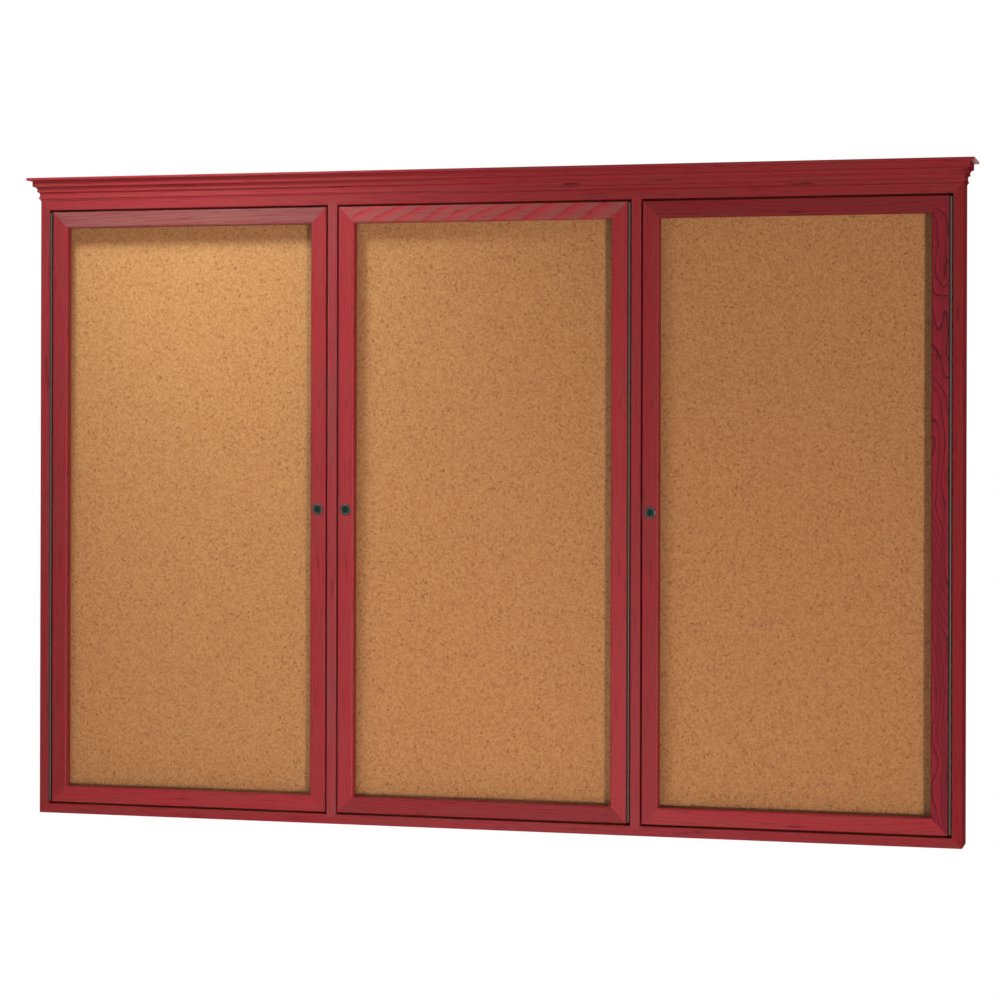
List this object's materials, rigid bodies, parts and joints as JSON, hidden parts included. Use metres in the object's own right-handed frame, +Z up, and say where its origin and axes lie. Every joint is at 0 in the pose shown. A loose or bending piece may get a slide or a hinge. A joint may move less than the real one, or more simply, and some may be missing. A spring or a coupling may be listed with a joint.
{
  "type": "lockable notice board",
  "caption": "Wall-hung hardwood display case with hinged glazed doors that lock over cork panels, under a moulded crown.",
  "frame": {"origin": "middle of the wall rail's back face, on the wall", "axes": "+X to the viewer's right along the board, +Y into the wall, +Z up; the doors face -Y"},
  "size_m": [1.8732, 0.0921, 1.2637],
  "materials": {
    "stained_oak": "satin cherry-stained varnish",
    "plain_wood": "bare plywood and softwood",
    "cork": "fine natural cork, matt",
    "glass": "clear polished",
    "hinge_steel": "nickel-plated, slightly dulled",
    "screw_steel": "plated",
    "lock_nickel": "polished nickel",
    "lock_core": "dark satin",
    "zinc_steel": "zinc-plated"
  },
  "bodies": {
    "case": {"side_board_left": "stained_oak", "side_board_right": "stained_oak", "top_board": "stained_oak", "bottom_board": "stained_oak", "divider_left": "stained_oak", "divider_right": "stained_oak", "crown_front": "stained_oak", "crown_return_left": "stained_oak", "crown_return_right": "stained_oak", "crown_cap": "stained_oak", "back_panel": "plain_wood", "hanging_rail": "plain_wood", "wall_rail": "plain_wood", "bottom_batten": "plain_wood", "crown_glue_blocks": "plain_wood", "cork_left": "cork", "cork_middle": "cork", "cork_right": "cork", "strike_plates": "zinc_steel", "case_screws": "screw_steel", "hinge_pins": "hinge_steel", "left_hinge_case_leaf": "hinge_steel", "middle_hinge_case_leaf": "hinge_steel", "right_hinge_case_leaf": "hinge_steel"},
    "left_door": {"left_hinge_stile": "stained_oak", "left_lock_stile": "stained_oak", "left_top_rail": "stained_oak", "left_bottom_rail": "stained_oak", "left_glass": "glass", "left_glazing_beads": "stained_oak", "left_hinge_door_leaf": "hinge_steel", "left_hinge_screws": "screw_steel", "left_lock_housing": "lock_nickel", "left_lock_nut": "lock_nickel"},
    "left_lock_plug_body": {"left_lock_plug": "lock_core", "left_lock_cam": "zinc_steel"},
    "middle_door": {"middle_hinge_stile": "stained_oak", "middle_lock_stile": "stained_oak", "middle_top_rail": "stained_oak", "middle_bottom_rail": "stained_oak", "middle_glass": "glass", "middle_glazing_beads": "stained_oak", "middle_hinge_door_leaf": "hinge_steel", "middle_hinge_screws": "screw_steel", "middle_lock_housing": "lock_nickel", "middle_lock_nut": "lock_nickel"},
    "middle_lock_plug_body": {"middle_lock_plug": "lock_core", "middle_lock_cam": "zinc_steel"},
    "right_door": {"right_hinge_stile": "stained_oak", "right_lock_stile": "stained_oak", "right_top_rail": "stained_oak", "right_bottom_rail": "stained_oak", "right_glass": "glass", "right_glazing_beads": "stained_oak", "right_hinge_door_leaf": "hinge_steel", "right_hinge_screws": "screw_steel", "right_lock_housing": "lock_nickel", "right_lock_nut": "lock_nickel"},
    "right_lock_plug_body": {"right_lock_plug": "lock_core", "right_lock_cam": "zinc_steel"}
  },
  "joints": [
    {"name": "left_door_hinge", "type": "hinge", "parent": "case", "child": "left_door", "pos_m": [-0.89175, -0.06985, -0.508], "axis": [0, 0, -1], "range_deg": [0, 170]},
    {"name": "left_lock_turn", "type": "hinge", "parent": "left_door", "child": "left_lock_plug_body", "pos_m": [-0.33022, -0.06, -0.508], "axis": [0, 1, 0], "range_deg": [0, 90]},
    {"name": "middle_door_hinge", "type": "hinge", "parent": "case", "child": "middle_door", "pos_m": [0.2885, -0.06985, -0.508], "axis": [0, 0, 1], "range_deg": [0, 170]},
    {"name": "middle_lock_turn", "type": "hinge", "parent": "middle_door", "child": "middle_lock_plug_body", "pos_m": [-0.27303, -0.06, -0.508], "axis": [0, -1, 0], "range_deg": [0, 90]},
    {"name": "right_door_hinge", "type": "hinge", "parent": "case", "child": "right_door", "pos_m": [0.89175, -0.06985, -0.508], "axis": [0, 0, 1], "range_deg": [0, 170]},
    {"name": "right_lock_turn", "type": "hinge", "parent": "right_door", "child": "right_lock_plug_body", "pos_m": [0.33022, -0.06, -0.508], "axis": [0, -1, 0], "range_deg": [0, 90]}
  ]
}
